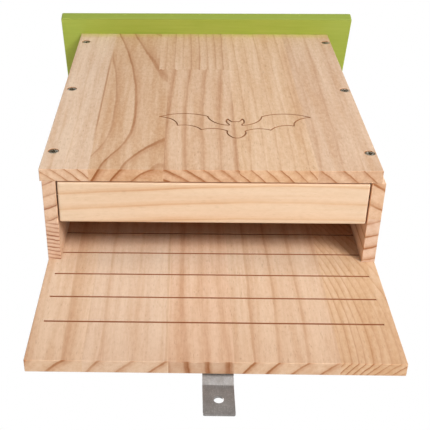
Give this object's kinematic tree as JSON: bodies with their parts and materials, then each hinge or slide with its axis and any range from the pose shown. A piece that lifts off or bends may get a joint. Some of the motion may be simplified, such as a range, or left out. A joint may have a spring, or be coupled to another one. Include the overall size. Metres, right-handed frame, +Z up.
{
  "type": "bat box",
  "caption": "Flat wooden bat roosting box, open underneath, with a grooved landing board, a painted sloping roof, a swinging bottom flap and two metal hangers.",
  "frame": {"origin": "centre of the upper hanging hole, on the face of the upper hanger that lies against the wall", "axes": "+X to the right as seen from the front, +Y back into the wall, +Z up as hung"},
  "size_m": [0.3476, 0.1418, 0.6101],
  "materials": {
    "front_wood": "bare sanded pine, edge-glued",
    "back_wood": "bare sanded pine, edge-glued",
    "side_wood": "bare sanded pine",
    "flap_wood": "bare planed spruce",
    "roof_paint": "matt olive green paint on wood",
    "hanger_steel": "zinc plated, dull",
    "screw_steel": "plated wood screws"
  },
  "bodies": {
    "box": {"front_panel": "front_wood", "back_panel": "back_wood", "left_side": "side_wood", "right_side": "side_wood", "roof": "roof_paint", "upper_hanger": "hanger_steel", "lower_hanger": "hanger_steel", "front_screws_left": "screw_steel", "front_screws_right": "screw_steel", "back_screws_left": "screw_steel", "back_screws_right": "screw_steel", "roof_screws_left": "screw_steel", "roof_screws_right": "screw_steel", "upper_hanger_screws": "screw_steel", "lower_hanger_screws": "screw_steel"},
    "flap": {"bottom_flap": "flap_wood", "pivot_screw_left": "screw_steel", "pivot_screw_right": "screw_steel"}
  },
  "joints": [
    {"name": "flap_swing", "type": "hinge", "parent": "box", "child": "flap", "pos_m": [0, -0.0892, -0.41241], "axis": [-1, 0, 0], "range_deg": [0, 90]}
  ]
}
